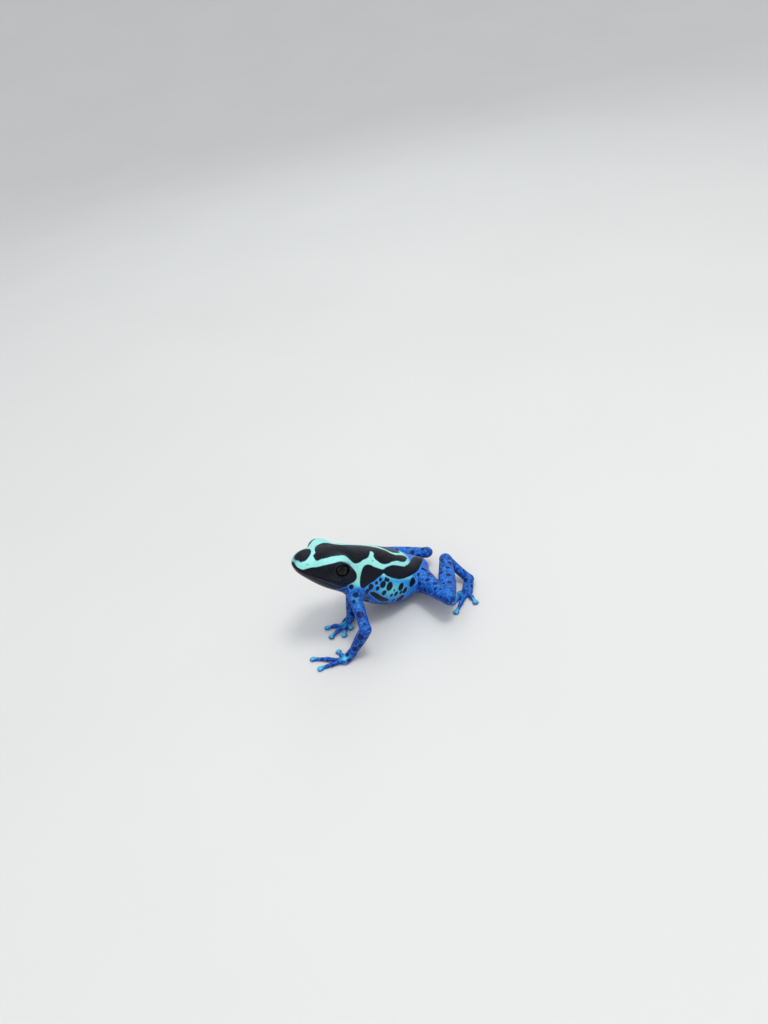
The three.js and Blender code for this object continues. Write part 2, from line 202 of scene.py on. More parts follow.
def read_sections(along, column):
    """A smooth value out of a column of SECTIONS, between the round ends."""
    places, values = SECTIONS[:, 0], SECTIONS[:, column]
    last = len(places) - 1
    i = np.clip(np.searchsorted(places, along, side="right") - 1, 1, last - 2)
    slopes = np.empty(last + 1)
    slopes[1:-1] = (values[2:] - values[:-2]) / (places[2:] - places[:-2])
    width = places[i + 1] - places[i]
    t = (along - places[i]) / width
    return (values[i] * (2 * t**3 - 3 * t**2 + 1) + slopes[i] * width * (t**3 - 2 * t**2 + t)
            + values[i + 1] * (3 * t**2 - 2 * t**3) + slopes[i + 1] * width * (t**3 - t**2))


def section_shape(along):
    """Half width, middle and half height of the trunk and head at a place along them."""
    inner = np.clip(along, SECTIONS[1, 0], SECTIONS[-2, 0])
    top, bottom = read_sections(inner, TOP), read_sections(inner, BOTTOM)
    return inner, read_sections(inner, WIDTH), (top + bottom) / 2, (top - bottom) / 2


def section_level(along, side, up):
    """Below 1 inside the trunk and head, 1 on the skin; and its slopes across the section."""
    inner, width, middle, half = section_shape(along)
    x, y = np.abs(side / width), np.abs((up - middle) / half)
    rump, snout = SECTIONS[1, 0] - SECTIONS[0, 0], SECTIONS[-1, 0] - SECTIONS[-2, 0]
    cap = np.where(along < inner, rump, snout)
    total = x**SIDE_POWER + y**TALL_POWER + ((along - inner) / cap)**2
    by_side = SIDE_POWER * x**(SIDE_POWER - 1) / width
    by_up = TALL_POWER * y**(TALL_POWER - 1) / half
    return total, by_side, by_up


def body_field(points):
    """About the distance to the skin of the trunk and head, below 0 inside."""
    along, side, up = body_coordinates(points)
    total, by_side, by_up = section_level(along, side, up)
    ahead = section_level(along + SLOPE_STEP, side, up)[0]
    behind = section_level(along - SLOPE_STEP, side, up)[0]
    by_along = (ahead - behind) / (2 * SLOPE_STEP)
    root = np.sqrt(np.maximum(total, 1e-9))
    slope = np.sqrt(by_along**2 + by_side**2 + by_up**2) / (2 * root)
    return (root - 1) / np.maximum(slope, LEAST_BODY_SLOPE)


def smooth_min(a, b, k):
    h = np.maximum(k - np.abs(a - b), 0) / np.maximum(k, 1e-6)
    return np.minimum(a, b) - h * h * k / 4


def smooth_max(a, b, k):
    return -smooth_min(-a, -b, k)


class Form:
    """A form of the skin: its box, and about the distance to it, below 0 inside."""

    def __init__(self, low, high, distance):
        self.low, self.high, self.distance = np.array(low), np.array(high), distance

    def near(self, points):
        inside = (points > self.low - MARGIN) & (points < self.high + MARGIN)
        return np.flatnonzero(inside.all(axis=1))


def limb_axes(start, end):
    axis = unit(end - start)
    across = unit(np.cross(SKYWARD, axis))
    return axis, across, np.cross(axis, across)


def egg_distance(x, y, z, rx, ry, rz):
    k0 = np.sqrt((x / rx)**2 + (y / ry)**2 + (z / rz)**2)
    k1 = np.sqrt((x / rx**2)**2 + (y / ry**2)**2 + (z / rz**2)**2)
    return k0 * (k0 - 1) / np.maximum(k1, 1e-6)


def limb(start, end, radii, flat=1.0, full=0.5):
    """A leg segment with round ends, fullest a given part of the way along."""
    axis, across, normal = limb_axes(start, end)
    length = np.linalg.norm(end - start)
    first, middle, last = radii
    bend = math.log(0.5) / math.log(full)

    def distance(points):
        offset = points - start
        along = offset @ axis / length
        t = np.clip(along, 0, 1)
        swelling = np.sin(np.pi * t**bend)**SWELLING_POWER
        radius = first + (last - first) * t + (middle - (first + last) / 2) * swelling
        tall = 1 - (1 - flat) * smoothstep(t, 0, FLAT_BY)
        return egg_distance(offset @ across, offset @ normal, (along - t) * length,
                            radius, radius * tall, radius)

    reach = max(radii)
    return Form(np.minimum(start, end) - reach, np.maximum(start, end) + reach, distance)


def egg(centre, radii, axes):
    axes = np.asarray(axes, float)

    def distance(points):
        local = (points - centre) @ axes.T
        return egg_distance(local[:, 0], local[:, 1], local[:, 2], *radii)

    reach = max(radii)
    return Form(centre - reach, centre + reach, distance)


def body_egg(facts, sign, radii):
    """An egg along the body's own axes; radii are side, along and up."""
    return egg(body_place(facts, sign), radii, [LEFTWARD, FORWARD, UPWARD])


def digit_places(palm, tip_offset):
    """Where a finger or toe starts, bends and has its pad, and which way it points."""
    tip = np.array([palm[0] + tip_offset[0], palm[1] + tip_offset[1], DIGIT["tip_height"]])
    root = palm + DIGIT["start"] * (tip - palm)
    root[2] = palm[2] - DIGIT["sunk"]
    pointing = unit(np.array([tip[0] - root[0], tip[1] - root[1], 0.0]))
    pad = tip - pointing * PAD["long"]
    knuckle = root + DIGIT["bend"] * (pad - root)
    knuckle[2] += DIGIT["arch"]
    return root, knuckle, pad, pointing


def digit_forms(palm, tip_offset):
    """Two lengths of shaft with a low arch between them, then the pad."""
    root, knuckle, pad, pointing = digit_places(palm, tip_offset)
    shaft = DIGIT["shaft"]
    broad, narrow = shaft * DIGIT["knuckle"], shaft * DIGIT["neck"]
    near = limb(root, knuckle, (DIGIT["root"], shaft, broad))
    far = limb(knuckle, pad, (broad, narrow, shaft))
    across = np.cross(SKYWARD, pointing)
    disc = egg(pad, (PAD["wide"], PAD["long"], PAD["tall"]), [across, pointing, SKYWARD])
    return [(near, SOFT["root"]), (far, SOFT["tip"]), (disc, SOFT["tip"])]


def head_and_shoulder_forms(sign):
    """The bulges of the eye and the swelling over the arm on one side."""
    r, s = ORBIT["radius"], SHOULDER["radius"]
    return [
        (body_egg(ORBIT, sign, (r, r * ORBIT["long"], r)), SOFT["orbit"]),
        (body_egg(EYE, sign, (EYE["radius"] + LID["thick"],) * 3), SOFT["lids"]),
        (body_egg(SHOULDER, sign, (s, s * SHOULDER["long"], s)), SOFT["shoulder"]),
    ]


def groin_form(side):
    hip, knee = joint(side, "hip"), joint(side, "knee")
    axes, r = limb_axes(hip, knee), GROIN["radius"]
    return egg(hip + axes[0] * GROIN["out"], (r * GROIN["long"], r, r), axes)


def skin_forms():
    """Every form that joins the trunk: the form, how softly, and if need be where it is soft."""
    forms = []
    for side, sign in SIGNS.items():
        forms += head_and_shoulder_forms(sign) + [(groin_form(side), SOFT["groin"])]
        for name, (soft, reach) in JOINS.items():
            facts = LIMBS[name]
            start, end = limb_ends(side, facts)
            form = limb(start, end, facts["radii"], facts["flat"], facts["full"])
            forms.append((form, soft, start, reach))
        for palm, tip in digits(side):
            forms += digit_forms(palm, tip)
    return forms


def eye_axes(sign):
    """The eye's own axes: along, up and outwards."""
    outward = unit(EYE["ahead"] * FORWARD + sign * LEFTWARD + EYE["skyward"] * UPWARD)
    along = unit(FORWARD - (FORWARD @ outward) * outward)
    return along, np.cross(along, outward) * -sign, outward


def eye_coordinates(points, sign):
    offset = points - body_place(EYE, sign)
    return tuple(offset @ axis for axis in eye_axes(sign))


def cut_eye(values, points, sign):
    """Sinks the socket and opens the lids over it."""
    near = np.flatnonzero(distances(points, body_place(EYE, sign)) < LID["reach"])
    x, y, z = eye_coordinates(points[near], sign)
    socket = np.sqrt(x**2 + y**2 + z**2) - (EYE["radius"] + LID["clearance"])
    opening = egg_distance(x, y, 0 * z, LID["long"], LID["tall"], 1.0)
    opening = smooth_max(opening, -z, LID["back_edge"])
    result = smooth_max(values[near], -socket, LID["socket_edge"])
    values[near] = smooth_max(result, -opening, LID["edge"])


def cut_nostril(values, points, sign):
    away = distances(points, body_place(NOSTRIL, sign))
    near = np.flatnonzero(away < NOSTRIL["reach"])
    pit = away[near] - NOSTRIL["radius"]
    values[near] = smooth_max(values[near], -pit, NOSTRIL["edge"])


FORMS = skin_forms()


def skin_field(points):
    """About the distance to the frog's skin, below 0 inside; the floor cuts it flat."""
    values = body_field(points)
    for form, soft, *where in FORMS:
        near = form.near(points)
        if not len(near):
            continue
        some = points[near]
        if where:
            root, reach = where
            soft = CREASE + (soft - CREASE) * hump(distances(some, root), 0, reach)
        values[near] = smooth_min(values[near], form.distance(some), soft)
    for sign in SIGNS.values():
        cut_eye(values, points, sign)
        cut_nostril(values, points, sign)
    return smooth_max(values, -points[:, 2], FLOOR_EDGE)


def field_slopes(points, step=0.03):
    slopes = np.empty_like(points)
    for axis in range(3):
        move = np.zeros(3)
        move[axis] = step
        slopes[:, axis] = (skin_field(points + move) - skin_field(points - move)) / (2 * step)
    return slopes


def settle(points, rounds, most=0.2):
    """Moves points onto the skin's surface."""
    for _ in range(rounds):
        slopes = field_slopes(points)
        size = np.maximum((slopes**2).sum(axis=1), LEAST_SQUARE_SLOPE)
        move = -(skin_field(points) / size)[:, None] * slopes
        length = np.linalg.norm(move, axis=1, keepdims=True)
        points = points + move * np.minimum(1, most / np.maximum(length, 1e-9))
    return points


def lattice(counts):
    return np.stack(np.meshgrid(*(np.arange(n) for n in counts), indexing="ij"), axis=-1).reshape(-1, 3)


def grid_values():
    """The field on the grid, worked out in full only in the blocks near the surface."""
    side = GRID_STEP * BLOCK
    counts = np.ceil((GRID_HIGH - GRID_LOW) / side).astype(int)
    blocks = lattice(counts)
    coarse = skin_field(GRID_LOW + (blocks + 0.5) * side)
    values = np.kron(coarse.reshape(counts), np.ones((BLOCK,) * 3)).astype(np.float32)
    close = blocks[np.abs(coarse) < BLOCK_REACH]
    index = (close[:, None, :] * BLOCK + lattice((BLOCK,) * 3)[None]).reshape(-1, 3)
    values[tuple(index.T)] = skin_field(GRID_LOW + index * GRID_STEP)
    return values


def net_points(values, cells):
    """The middle of the places where the surface crosses each cell's edges."""
    corners = lattice((2, 2, 2))
    total, crossings = np.zeros((len(cells), 3)), np.zeros(len(cells))
    for a in corners:
        for axis in np.flatnonzero(a == 0):
            b = a.copy()
            b[axis] = 1
            va = values[tuple((cells + a).T)].astype(float)
            vb = values[tuple((cells + b).T)].astype(float)
            crosses = (va < 0) != (vb < 0)
            t = np.where(crosses, va / np.where(crosses, va - vb, 1), 0)
            total[crosses] += (a + t[:, None] * (b - a))[crosses]
            crossings += crosses
    return GRID_LOW + (cells + total / crossings[:, None]) * GRID_STEP


def net_faces(inside, number):
    """A four-sided face round each grid edge that the surface crosses."""
    faces = []
    for axis in range(3):
        u, v = (axis + 1) % 3, (axis + 2) % 3
        edges = np.argwhere(np.diff(inside, axis=axis))
        corners = []
        for du, dv in ((1, 1), (0, 1), (0, 0), (1, 0)):
            cell = edges.copy()
            cell[:, u] -= du
            cell[:, v] -= dv
            corners.append(number[tuple(cell.T)])
        quad = np.stack(corners, axis=1)
        outward = inside[tuple(edges.T)]
        quad[~outward] = quad[~outward][:, ::-1]
        faces.append(quad)
    return np.concatenate(faces)


def surface_net(values):
    """A mesh with one point in each grid cell that the surface crosses."""
    sizes = np.array(values.shape) - 1
    inside = values < 0
    count = np.zeros(tuple(sizes), np.int8)
    for x, y, z in lattice((2, 2, 2)):
        count += inside[x:x + sizes[0], y:y + sizes[1], z:z + sizes[2]]
    cells = np.argwhere((count > 0) & (count < 8))
    number = np.full(tuple(sizes), -1, np.int64)
    number[tuple(cells.T)] = np.arange(len(cells))
    return net_points(values, cells), net_faces(inside, number)


def add_object(name, data):
    thing = bpy.data.objects.new(name, data)
    bpy.context.scene.collection.objects.link(thing)
    return thing


def add_mesh(name, points, faces):
    """An object from points in millimetres and four-sided faces."""
    mesh = bpy.data.meshes.new(name)
    mesh.vertices.add(len(points))
    mesh.vertices.foreach_set("co", (points * METRES).astype(np.float32).ravel())
    mesh.loops.add(faces.size)
    mesh.loops.foreach_set("vertex_index", faces.astype(np.int32).ravel())
    mesh.polygons.add(len(faces))
    mesh.polygons.foreach_set("loop_start", np.arange(0, faces.size, 4, dtype=np.int32))
    mesh.update(calc_edges=True)
    mesh.validate()
    mesh.shade_smooth()
    return add_object(name, mesh)


def mesh_vectors(mesh, name):
    """The places or the normals of a mesh's points, one in each row."""
    vectors = np.empty(len(mesh.vertices) * 3, np.float32)
    mesh.vertices.foreach_get(name, vectors)
    return vectors.reshape(-1, 3).astype(float)


def mesh_points(mesh):
    return mesh_vectors(mesh, "co") / METRES


def set_mesh_points(mesh, points):
    mesh.vertices.foreach_set("co", (points * METRES).astype(np.float32).ravel())
    mesh.update()


def keep_values(mesh, name, values):
    """Stores one number per point, for the materials to read."""
    attribute = mesh.attributes.new(name, "FLOAT", "POINT")
    attribute.data.foreach_set("value", np.asarray(values, np.float32))


def subdivided(thing):
    """The thing's mesh with one round of smooth subdivision."""
    thing.modifiers.new("Subdivision", "SUBSURF").levels = 1
    view = bpy.context.evaluated_depsgraph_get()
    finer = bpy.data.meshes.new_from_object(thing.evaluated_get(view))
    thing.modifiers.clear()
    thing.data = finer
    return finer


def around(along, side, up):
    """Degrees round the section from the middle of the back, above 0 on the left."""
    _, width, middle, half = section_shape(along)
    return np.degrees(np.arctan2(side / width, (up - middle) / half))


def mouth_height(along):
    """How high the mouth line runs, from the corner of the jaw to the snout."""
    reach = np.clip((along - MOUTH["from"]) / (MOUTH["to"] - MOUTH["from"]), 0, 1)
    t = 2 / np.pi * np.arccos(np.clip(reach**(1 / MOUTH["curve"]), 0, 1))
    return MOUTH["level"] - MOUTH["drop"] * t**MOUTH["bend"]


def mouth_relief(along, up):
    """The mouth line sunk between two low lips; and how deep the line is there, 0 to 1."""
    off = up - mouth_height(along)
    there = smoothstep(along, *MOUTH["fade"])
    line = hump(off, 0, MOUTH["width"]) * there
    lips = (hump(off, LIP["off"], LIP["width"]) + hump(off, -LIP["off"], LIP["width"])) * there
    return LIP["height"] * lips - MOUTH["depth"] * line, line


def tympanum_relief(along, side, up):
    """A low ring round a slightly sunken disc behind the corner of the mouth."""
    away = np.hypot(along - TYMPANUM["along"], up - TYMPANUM["up"])
    flank = np.abs(side) > TYMPANUM["side"]
    rim = TYMPANUM["rim"] * hump(away, TYMPANUM["radius"], TYMPANUM["rim_width"])
    disc = TYMPANUM["sunk"] * (1 - smoothstep(away, TYMPANUM["flat"], TYMPANUM["radius"]))
    return (rim - disc) * flank


def lid_relief(points):
    """The swollen rims of the lids and the crease round them, and how much painted shade darkens that
    crease.
    """
    relief = np.zeros(len(points))
    crease_shade = np.zeros(len(points))
    for sign in SIGNS.values():
        x, y, z = eye_coordinates(points, sign)
        near = (np.sqrt(x**2 + y**2 + z**2) < LID_RELIEF_REACH) & (z > LID_RELIEF_FRONT)
        oval = np.hypot(x / LID["long"], y / LID["tall"])
        rim = near * hump(oval, LID_RIM["oval"], LID_RIM["width"])
        fold = near * hump(oval, LID_CREASE["oval"], LID_CREASE["width"])
        relief += LID_RIM["height"] * rim - LID_CREASE["depth"] * fold
        crease_shade += fold
    return relief, crease_shade


def joint_folds(points):
    """Shallow creases across the inside of the elbows, wrists, knees and heels."""
    folds = np.zeros(len(points))
    for side in SIGNS:
        for name, reach in FOLDS.items():
            place = joint(side, name)
            before = next(part["ends"][0] for part in LIMBS.values() if part["ends"][1] == name)
            axis = limb_axes(joint(side, before), place)[0]
            near = np.exp(-(distances(points, place) / reach)**4)
            wave = np.cos((points - place) @ axis * 2 * np.pi / FOLD_SPACING)
            folds += near * (0.5 + 0.5 * wave)
    return folds


def pad_grooves(points):
    """The groove along the top of each finger and toe pad that parts its two scutes."""
    groove = np.zeros(len(points))
    for palm, tip in digits(*SIGNS):
        _, _, pad, pointing = digit_places(palm, tip)
        offset = points - pad
        across = offset @ np.cross(SKYWARD, pointing)
        near = (distances(points, pad) < GROOVE["reach"]) & (offset[:, 2] > GROOVE["above"])
        groove += near * hump(across, 0, GROOVE["width"])
    return np.minimum(groove, 1)


def add_relief(mesh):
    """Raises the lips, lids and folds on the skin, and keeps where it is creased, for painted shade that
    darkens the creases.
    """
    points = mesh_points(mesh)
    along, side, up = body_coordinates(points)
    on_head = smoothstep(along, 24.6, 25.4) * (1 - smoothstep(body_field(points), 2.6, 3.2))
    mouth, line = mouth_relief(along, up)
    lids, lid_crease_shade = lid_relief(points)
    folds = joint_folds(points)
    grooves = pad_grooves(points)
    height = (mouth + tympanum_relief(along, side, up)) * on_head + lids
    height -= FOLD_DEPTH * folds + GROOVE["depth"] * grooves
    height *= smoothstep(points[:, 2], 0.02, 0.25)
    set_mesh_points(mesh, points + mesh_vectors(mesh, "normal") * height[:, None])
    # Painted shade: how much the colour is darkened in the mouth line, the lid creases, the folds and the
    # pad grooves.
    painted_crease_shade = line * on_head + CREASE_SHADE_SHARES["lids"] * lid_crease_shade
    painted_crease_shade += CREASE_SHADE_SHARES["folds"] * folds + CREASE_SHADE_SHARES["grooves"] * grooves
    keep_values(mesh, "crease_shade", np.minimum(painted_crease_shade, 1))


# Markings on the back, as places along the body and to its left; the left side is the nearer one.
SNOUT_PATCH = [
    (40.3, -1.2), (40.4, 0.4), (40.0, 1.7), (39.2, 2.3), (38.3, 2.0), (37.4, 1.2), (36.8, 0.1),
    (36.5, -1.0), (37.0, -2.1), (38.1, -2.4), (39.4, -1.9),
]
BACK_PATCH = [
    (33.8, -2.4), (35.5, -0.4), (36.1, 1.2), (37.0, 2.1), (36.6, 3.4), (35.1, 3.5), (33.4, 3.8),
    (31.4, 4.5), (29.9, 4.2), (29.0, 4.3), (28.0, 5.1), (26.5, 5.5), (24.9, 5.3), (23.1, 4.6),
    (21.3, 3.9), (20.3, 2.8), (19.7, 1.9), (18.9, 1.8), (18.7, 2.6), (19.3, 3.6), (18.7, 4.7),
    (16.8, 5.5), (14.9, 5.3), (13.4, 4.8), (11.4, 4.3), (10.0, 4.4), (8.6, 4.1), (7.2, 3.1),
    (6.5, 2.2), (7.3, 1.7), (8.9, 1.9), (10.7, 2.3), (12.2, 2.0), (13.5, 0.8), (15.2, -0.3), (17.6, -1.3),
    (20.0, -1.8), (22.4, -1.7), (25.0, -1.2), (27.2, -0.9), (28.6, -1.6), (30.0, -2.9), (32.0, -3.1),
]
# Where the dark patch of the far flank comes up to the middle of the back.
FAR_PATCH = [
    (14.3, -1.8), (13.3, -0.6), (12.2, 0.7), (11.0, 1.2), (9.2, 0.9), (7.9, 0.2), (7.3, -1.2),
    (7.8, -3.2), (9.5, -4.6), (12.0, -4.8), (13.8, -4.0), (14.6, -2.8),
]
# Markings on the sides, as places along the body and degrees round from the middle of the back.
HEAD_PATCH = [
    (41.6, 126), (39.9, 109), (38.3, 80), (36.9, 72), (35.3, 64), (34.0, 58), (33.0, 54), (31.8, 51),
    (29.9, 54), (27.4, 62), (25.7, 72), (25.1, 83), (25.3, 95), (26.6, 106), (27.3, 119), (28.4, 137),
    (27.8, 157), (28.4, 180), (27.8, 203), (35.0, 212), (42.0, 203),
]
SHOULDER_PATCH = [
    (23.2, 101), (23.7, 89), (23.9, 75), (23.6, 62), (22.8, 54), (21.4, 50), (19.6, 53),
    (17.9, 55), (16.8, 56), (16.8, 61), (17.7, 68), (18.8, 76), (19.9, 86), (21.3, 96), (22.2, 102),
]
FLANK_PATCH = [
    (17.3, 58), (16.2, 51), (14.9, 46), (13.1, 43), (11.1, 43), (9.3, 43), (7.6, 38), (6.0, 29),
    (4.3, 17), (1.6, -1), (-0.6, -5), (-1.2, 6), (0.2, 25), (2.2, 41), (3.9, 51), (5.9, 58), (8.1, 64),
    (10.2, 68), (12.1, 69), (14.0, 68), (15.6, 66), (16.7, 62),
]
DEGREE = 0.105  # millimetres of skin in a degree, about
# How far round the back's outlines count and the sides' cross the back, and where they cross the throat.
TOP_DEGREES, BACK_DEGREES, THROAT_DEGREES = 88, 12, 165
SNOUT_TIP = {"along": 37.5, "up": -0.3}  # past these the back's outlines count all round
RUMP_TURN = 14  # degrees that the far side's markings are turned at the rump
PATCH_BLEND, SPOT_BLEND, JAW_BLEND = 0.3, 0.12, 0.2  # how softly dark markings meet

# Dark spots of the flank: along, degrees round, radius.
FLANK_SPOTS = [
    (17.6, 76, 0.4), (15.9, 73, 0.45), (15.2, 74, 0.4), (18.5, 85, 0.42), (16.4, 85, 0.82),
    (14.1, 86, 1.0), (19.8, 97, 0.75), (17.6, 96, 0.52), (20.6, 109, 0.75), (15.0, 102, 0.64),
    (9.9, 85, 0.9), (7.8, 93, 0.75), (9.1, 98, 0.45), (10.7, 101, 0.6), (12.1, 105, 0.45),
    (7.7, 116, 1.2), (5.6, 75, 1.1), (3.5, 60, 0.5), (1.6, 50, 0.6), (10.0, 120, 0.45),
    (22.5, 116, 0.6), (20.7, 124, 0.8), (25.6, 110, 0.6), (12.0, 93, 0.25),
    (20.1, 40, 0.12), (25.4, 58, 0.06),
]
# The long blotch of the flank, which tapers forward.
LONG_BLOTCH = [
    (19.2, 110), (18.2, 107), (16.6, 108), (14.8, 112), (13.0, 115), (11.7, 119), (11.8, 124),
    (13.2, 127), (15.0, 124), (16.8, 120), (18.4, 115),
]
# The dim blue line along the lower jaw, down to the shoulder.
JAW_LINE = [(35.2, 118), (31.0, 117), (27.8, 120), (26.0, 113)]
JAW_LINE_WIDTH = 0.1
# Dark spots seen on the left limbs: share of the way along, degrees round, radius.
NEAR_LIMB_SPOTS = {
    "upper_arm": [(0.15, 80, 0.7), (0.3, 115, 0.4), (0.65, 100, 0.95), (0.9, 85, 0.4)],
    "forearm": [(0.2, 35, 0.85), (0.7, 20, 0.75)],
    "palm": [(0.5, 80, 0.5)],
    "thigh": [(0.2, 65, 0.6), (0.35, 145, 0.5), (0.45, 100, 0.65), (0.65, 90, 0.6), (0.75, 120, 0.45)],
    "shank": [(0.8, 130, 0.7), (0.9, 60, 0.55), (0.45, 105, 0.6), (0.25, 105, 0.6), (0.65, 50, 0.4)],
}
# Rows of spots over the belly: how many, and how far apart along the body and round it.
BELLY_ROWS, BELLY_COLUMNS, BELLY_START = 9, 4, 3.0
BELLY_STEP, BELLY_DEGREES, BELLY_RADIUS = 2.75, 15.5, 0.62
SPOT_ROOM = 9.0  # square millimetres of skin for each spot of the limbs
SPOT_GAP = 0.45
GOLDEN_ANGLE = math.radians(137.5)
SPIRAL_STARTS = {"left": 0.8, "right": 2.6}
FAR_OUTSIDE = -2.0  # what a patch reads well away from its outline
ENDED = 3  # how far outside a marking reads where the part of the body it belongs to ends
LOTS = 40  # the points are tried against an outline in so many lots


def rounded(corners, steps=8):
    """A closed smooth curve through the corners."""
    corners = np.array(corners, float)
    before, after, beyond = (np.roll(corners, n, axis=0) for n in (1, -1, -2))
    curve = []
    for t in np.arange(steps) / steps:
        curve.append(0.5 * (2 * corners + (after - before) * t
                            + (2 * before - 5 * corners + 4 * after - beyond) * t**2
                            + (3 * corners - before - 3 * after + beyond) * t**3))
    return np.stack(curve, axis=1).reshape(-1, 2)


def line_distance(points, starts, ends):
    """The distance from each point to the nearest of some straight lines."""
    path = ends - starts
    offset = points[:, None, :] - starts[None]
    t = np.clip((offset * path).sum(axis=-1) / (path**2).sum(axis=-1), 0, 1)
    return np.linalg.norm(offset - t[..., None] * path, axis=-1).min(axis=1)


def within(points, starts, ends):
    """Which points lie inside the closed curve of straight lines."""
    u, v = points[:, 0, None], points[:, 1, None]
    crosses = (starts[:, 1] > v) != (ends[:, 1] > v)
    rise = np.where(ends[:, 1] == starts[:, 1], 1, ends[:, 1] - starts[:, 1])
    at = starts[:, 0] + (v - starts[:, 1]) * (ends[:, 0] - starts[:, 0]) / rise
    return (crosses & (u < at)).sum(axis=1) % 2 == 1


def inside_patch(corners, u, v):
    """How far inside a rounded outline each place lies, below 0 outside."""
    starts = rounded(corners)
    ends = np.roll(starts, -1, axis=0)
    places = np.stack([u, v], axis=1)
    depth = np.full(len(u), FAR_OUTSIDE)
    near = (places > starts.min(axis=0) + FAR_OUTSIDE) & (places < starts.max(axis=0) - FAR_OUTSIDE)
    for part in np.array_split(np.flatnonzero(near.all(axis=1)), LOTS):
        away = line_distance(places[part], starts, ends)
        depth[part] = np.where(within(places[part], starts, ends), away, -away)
    return np.maximum(depth, FAR_OUTSIDE)


def on_skin_side(corners):
    return [(along, degrees * DEGREE) for along, degrees in corners]


def side_markings(along, degrees):
    """How far inside a dark patch or spot of the side each place lies, for one side."""
    v = degrees * DEGREE
    outlines = (HEAD_PATCH, SHOULDER_PATCH, FLANK_PATCH, LONG_BLOTCH)
    head, shoulder, flank, blotch = (inside_patch(on_skin_side(o), along, v) for o in outlines)
    jaw = np.array(on_skin_side(JAW_LINE))
    near_jaw = np.flatnonzero((along > 23) & (degrees > 90))
    line = line_distance(np.stack([along, v], axis=1)[near_jaw], jaw[:-1], jaw[1:])
    head[near_jaw] = smooth_min(head[near_jaw], line - JAW_LINE_WIDTH, JAW_BLEND)
    dark = np.maximum(head, smooth_max(shoulder, flank, PATCH_BLEND))
    for spot_along, spot_degrees, radius in FLANK_SPOTS:
        away = np.hypot(along - spot_along, v - spot_degrees * DEGREE)
        dark = smooth_max(dark, radius - away, SPOT_BLEND)
    return np.maximum(dark, blotch)


def belly_spots(along, degrees):
    """Rows of dark spots over the belly, chest and the back of the throat."""
    dark = np.full(len(along), FAR_OUTSIDE)
    for row in range(BELLY_ROWS):
        for column in range(-BELLY_COLUMNS, BELLY_COLUMNS + 1):
            # The sines keep the rows from looking regular.
            turn = row * 2.3 + column * 1.7
            spot_along = BELLY_START + BELLY_STEP * row + 0.7 * math.sin(turn * 2.1)
            spot_degrees = 180 + BELLY_DEGREES * (column + 0.5 * (row % 2)) + 3.5 * math.sin(turn * 3.3)
            radius = BELLY_RADIUS + 0.3 * math.sin(turn * 1.3)
            turned = (degrees - spot_degrees + 180) % 360 - 180
            dark = np.maximum(dark, radius - np.hypot(along - spot_along, turned * DEGREE * 1.15))
    below = smoothstep(np.abs(degrees), 124, 132)
    return FAR_OUTSIDE + (dark - FAR_OUTSIDE) * below


def body_markings(along, side, up):
    """How far inside the dark markings of the trunk and head each place lies."""
    degrees = around(along, side, up)
    from_top = np.abs(degrees)
    near_side = side_markings(along, degrees)
    # The far side mirrors the near one and is a little varied, but not where they meet below.
    rump = RUMP_TURN * (1 - smoothstep(along, 2, 8))
    varied = 1 - smoothstep(-degrees, 120, 160)
    far_along = along + 0.45 * np.sin(along * 0.55 + 1.0) * varied
    far_degrees = -degrees + (2.5 * np.sin(along * 0.8) - rump) * varied
    far_side = side_markings(far_along, far_degrees)
    dark = np.where(degrees > 0, near_side, far_side)
    # Patches that pass the middle of the back or throat count on both sides of it.
    middle = (from_top < BACK_DEGREES) | (from_top > THROAT_DEGREES)
    passing = side_markings(along, np.where(degrees < -90, degrees + 360, degrees))
    dark = np.where(middle & (degrees < 0), np.maximum(dark, passing), dark)
    above = (from_top < TOP_DEGREES) | ((along > SNOUT_TIP["along"]) & (up > SNOUT_TIP["up"]))
    patches = (SNOUT_PATCH, BACK_PATCH, FAR_PATCH)
    back = np.max([inside_patch(patch, along, side) for patch in patches], axis=0)
    dark = np.where(above, np.maximum(dark, back), dark)
    return np.maximum(dark, belly_spots(along, degrees))


def spiral_spots(side, number, facts):
    """Spots wound round a part of a limb in a golden spiral, as (share along, turn, radius)."""
    start, end = limb_ends(side, facts)
    thick = facts["radii"][1]
    count = int(2 * np.pi * thick * np.linalg.norm(end - start) / SPOT_ROOM)
    turns = np.arange(count) * GOLDEN_ANGLE + number * 1.9 + SPIRAL_STARTS[side]
    return [((k + 0.5) / count, turn, 0.48 + 0.16 * math.sin(turn * 2.7)) for k, turn in enumerate(turns)]


def limb_spots(side):
    """Centres and radii of the dark spots on the limbs, none on top of another."""
    kept = []
    for number, (name, facts) in enumerate(LIMBS.items()):
        start, end = limb_ends(side, facts)
        _, across, normal = limb_axes(start, end)
        seen = NEAR_LIMB_SPOTS.get(name, []) if side == "left" else []
        spots = [(t, math.radians(turn), radius) for t, turn, radius in seen]
        spots += spiral_spots(side, number, facts)
        centres = []
        for t, turn, _ in spots:
            outward = across * math.cos(turn) + normal * math.sin(turn) * facts["flat"]
            centres.append(start + (end - start) * t + outward * facts["radii"][1])
        for centre, (_, _, size) in zip(settle(np.array(centres), 4), spots):
            room = [np.linalg.norm(centre - other) - size - radius for other, radius in kept]
            if min(room, default=1.0) > SPOT_GAP:
                kept.append((centre, size))
    return kept


def limb_markings(points):
    dark = np.full(len(points), FAR_OUTSIDE)
    for side in SIGNS:
        for centre, radius in limb_spots(side):
            near = np.flatnonzero((np.abs(points - centre) < radius - FAR_OUTSIDE).all(axis=1))
            dark[near] = np.maximum(dark[near], radius - distances(points[near], centre))
    return dark


def limb_share(points):
    """1 on the limbs, 0 on the trunk and head, and between at the shoulders and groin."""
    share = smoothstep(body_field(points), 0.35, 1.3)
    for sign in SIGNS.values():
        share = share * smoothstep(distances(points, body_place(ORBIT, sign)), 4.0, 4.6)
    return share


